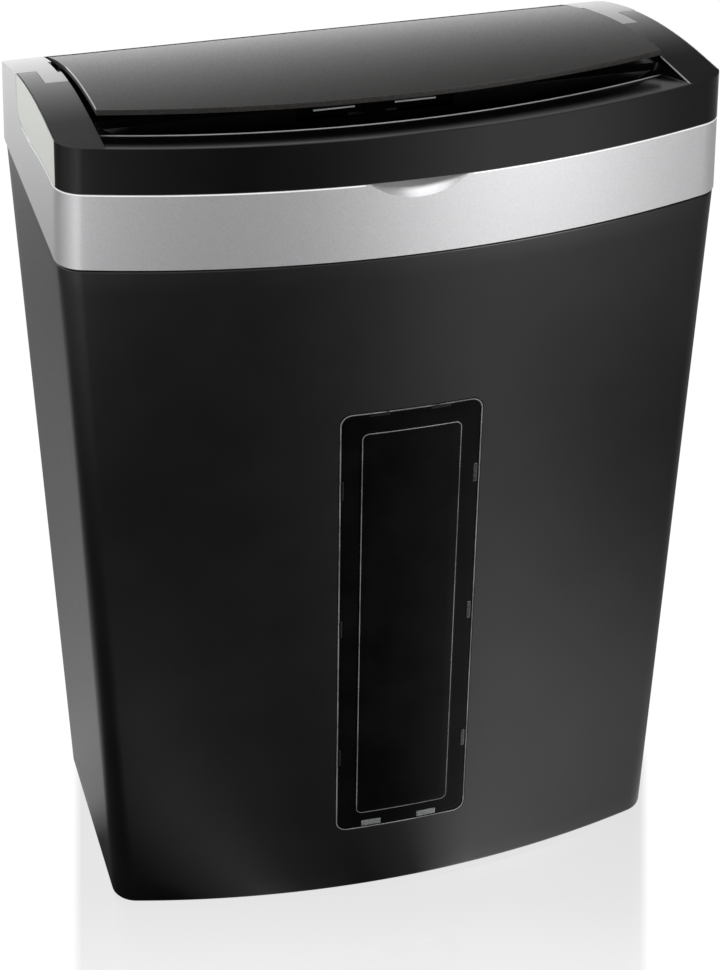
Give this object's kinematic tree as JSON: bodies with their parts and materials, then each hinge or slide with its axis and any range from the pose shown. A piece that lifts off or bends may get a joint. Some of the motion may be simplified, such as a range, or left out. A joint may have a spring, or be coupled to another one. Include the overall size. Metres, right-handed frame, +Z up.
{
  "type": "paper shredder",
  "caption": "Tapered black console paper shredder: a waste bin with a front window under a silver-banded lift-off cutting head with a hinged lid.",
  "frame": {"origin": "centre of the footprint on the floor", "axes": "+Z up, -Y the bowed front with the window, +X to the right seen from the front"},
  "size_m": [0.38, 0.23, 0.5315],
  "materials": {
    "bin_black": "satin moulded ABS, near black",
    "window_smoke": "smoked transparent polystyrene, glossy",
    "rubber_black": "matt black rubber",
    "chassis_black": "moulded black plastic",
    "band_silver": "fine metallic silver paint over plastic",
    "inlay_silver": "light metallic silver paint over plastic",
    "housing_black": "polished black ABS",
    "lid_grey": "finely textured dark grey plastic",
    "steel_bright": "ground steel",
    "steel_plate": "zinc-plated sheet steel",
    "cutter_steel": "hardened oiled steel",
    "bronze": "sintered bronze",
    "nylon_natural": "natural acetal",
    "motor_steel": "zinc-plated steel motor case",
    "copper_core": "laminated core with enamelled copper windings",
    "screw_black": "black oxide steel",
    "board_green": "solder-masked glass fibre",
    "component_black": "moulded electrical components",
    "clear_bar": "clear light guide with a bright face"
  },
  "bodies": {
    "bin": {"bin": "bin_black", "bin_window": "window_smoke", "foot_pads": "rubber_black"},
    "head": {"head_chassis": "chassis_black", "band": "band_silver", "left_side_inlay": "inlay_silver", "right_side_inlay": "inlay_silver", "top_housing": "housing_black", "lid_hinge_pins": "steel_bright", "indicator_bars": "clear_bar", "mode_switch_body": "chassis_black", "case_screws": "screw_black", "feed_funnel": "housing_black", "front_feed_plate": "chassis_black", "rear_feed_plates": "chassis_black", "flag_pin": "steel_bright", "left_side_plate": "steel_plate", "right_side_plate": "steel_plate", "tie_rods": "steel_bright", "cutter_bushes": "bronze", "front_stripper_comb": "chassis_black", "rear_stripper_comb": "chassis_black", "gear_studs": "steel_bright", "gear_cover": "chassis_black", "motor_can": "motor_steel", "motor_end_plates": "steel_plate", "motor_screws": "screw_black", "mechanism_screws": "screw_black", "control_board": "board_green", "board_components": "component_black", "cord_gland": "rubber_black", "interlock_switch": "component_black"},
    "lid": {"lid": "lid_grey"},
    "slider": {"mode_slider": "housing_black"},
    "flag": {"paper_flag": "chassis_black"},
    "front_cutter": {"front_cutter_shaft": "steel_bright", "front_cutter_discs": "cutter_steel", "front_spacers": "cutter_steel", "front_cutter_gear": "cutter_steel"},
    "rear_cutter": {"rear_cutter_shaft": "steel_bright", "rear_cutter_discs": "cutter_steel", "rear_spacers": "cutter_steel", "rear_cutter_gear": "cutter_steel", "output_gear": "nylon_natural"},
    "second_gear": {"second_reduction_gear": "nylon_natural"},
    "first_gear": {"first_reduction_gear": "nylon_natural"},
    "rotor": {"motor_armature": "copper_core", "motor_pinion": "bronze", "cooling_fan": "chassis_black"},
    "plunger": {"interlock_plunger": "nylon_natural"}
  },
  "joints": [
    {"name": "head_lift", "type": "slide", "parent": "bin", "child": "head", "axis": [0, 0, 1], "range_m": [0, 0.12]},
    {"name": "lid_hinge", "type": "hinge", "parent": "head", "child": "lid", "pos_m": [0, 0.078, 0.503], "axis": [-1, 0, 0], "range_deg": [0, 40]},
    {"name": "mode_slide", "type": "slide", "parent": "head", "child": "slider", "axis": [1, 0, 0], "range_m": [-0.0045, 0.0045]},
    {"name": "flag_pivot", "type": "hinge", "parent": "head", "child": "flag", "pos_m": [0, -0.04, 0.488], "axis": [1, 0, 0], "range_deg": [0, 30], "stiffness_Nm_per_rad": 0.002, "springref_deg": -22.92},
    {"name": "rear_cutter_spin", "type": "hinge", "parent": "head", "child": "rear_cutter", "pos_m": [0, -0.036, 0.448], "axis": [1, 0, 0], "continuous": true},
    {"name": "front_cutter_spin", "type": "hinge", "parent": "head", "child": "front_cutter", "pos_m": [0, -0.068, 0.448], "axis": [1, 0, 0], "continuous": true},
    {"name": "second_gear_spin", "type": "hinge", "parent": "head", "child": "second_gear", "pos_m": [0.13, -0.0111, 0.46889], "axis": [1, 0, 0], "continuous": true},
    {"name": "first_gear_spin", "type": "hinge", "parent": "head", "child": "first_gear", "pos_m": [0.13, 0.01549, 0.4642], "axis": [1, 0, 0], "continuous": true},
    {"name": "motor_spin", "type": "hinge", "parent": "head", "child": "rotor", "pos_m": [0.06, 0.03578, 0.45681], "axis": [1, 0, 0], "continuous": true},
    {"name": "plunger_travel", "type": "slide", "parent": "head", "child": "plunger", "axis": [0, 0, 1], "range_m": [0, 0.002], "stiffness_N_per_m": 200, "springref_m": -0.001}
  ],
  "couplings": [
    {"joint": "front_cutter_spin", "follows": "rear_cutter_spin", "ratio": -1},
    {"joint": "second_gear_spin", "follows": "rear_cutter_spin", "ratio": -3.3333},
    {"joint": "first_gear_spin", "follows": "rear_cutter_spin", "ratio": 9.5238},
    {"joint": "motor_spin", "follows": "rear_cutter_spin", "ratio": -41.905}
  ]
}
